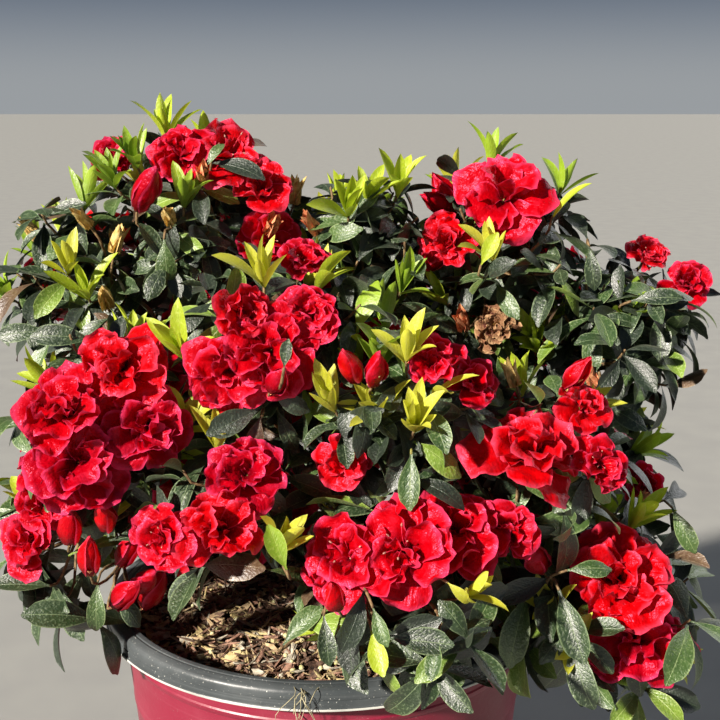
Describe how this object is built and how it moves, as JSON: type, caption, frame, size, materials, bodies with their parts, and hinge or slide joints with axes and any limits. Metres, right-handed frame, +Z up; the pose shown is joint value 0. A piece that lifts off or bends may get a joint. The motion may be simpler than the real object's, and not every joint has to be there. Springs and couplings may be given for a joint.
{
  "type": "potted azalea shrub",
  "caption": "Flowering evergreen azalea shrub with ruffled red double blooms, standing in its round tapered nursery pot of bark mix.",
  "frame": {"origin": "middle of the pot's flat underside", "axes": "+Z up through the pot and the crown; -Y towards the front of the shrub, the side with the most bloom; +X to the right of someone facing it"},
  "size_m": [0.442, 0.3776, 0.5407],
  "materials": {
    "pot_plastic": "moulded plastic, maroon, low sheen",
    "rim_plastic": "moulded plastic, charcoal, satin",
    "bark_mix": "shredded bark, dry on top",
    "bark": "thin grey-brown bark, lightly flaking",
    "foliage": "glossy dark green leaves with red petals"
  },
  "bodies": {
    "root": {"pot_wall": "pot_plastic", "pot_rim": "rim_plastic", "potting_mix": "bark_mix", "stem": "bark", "bough_left": "bark", "bough_front": "bark", "bough_right": "bark", "bough_crest": "bark", "bough_back_left": "bark", "bough_back": "bark", "bough_back_right": "bark", "limb_left_skirt": "bark", "limb_left_bloom": "bark", "limb_left_shoulder": "bark", "limb_front_left": "bark", "limb_front_right": "bark", "limb_centre_mid": "bark", "limb_right_skirt": "bark", "limb_right_side": "bark", "limb_right_bloom": "bark", "limb_centre_crest": "bark", "limb_back_left_skirt": "bark", "limb_back_skirt": "bark", "limb_back_right_skirt": "bark", "mass_left_crest": "foliage", "mass_left_skirt": "foliage", "mass_left_bloom": "foliage", "mass_left_shoulder": "foliage", "mass_centre_bloom": "foliage", "mass_front_left": "foliage", "mass_front_right": "foliage", "mass_centre_mid": "foliage", "mass_right_shoulder": "foliage", "mass_right_skirt": "foliage", "mass_right_side": "foliage", "mass_right_bloom": "foliage", "mass_right_crest": "foliage", "mass_centre_crest": "foliage", "mass_back_left": "foliage", "mass_back_left_skirt": "foliage", "mass_back_crest": "foliage", "mass_back_skirt": "foliage", "mass_back_right": "foliage", "mass_back_right_skirt": "foliage"}
  },
  "joints": []
}
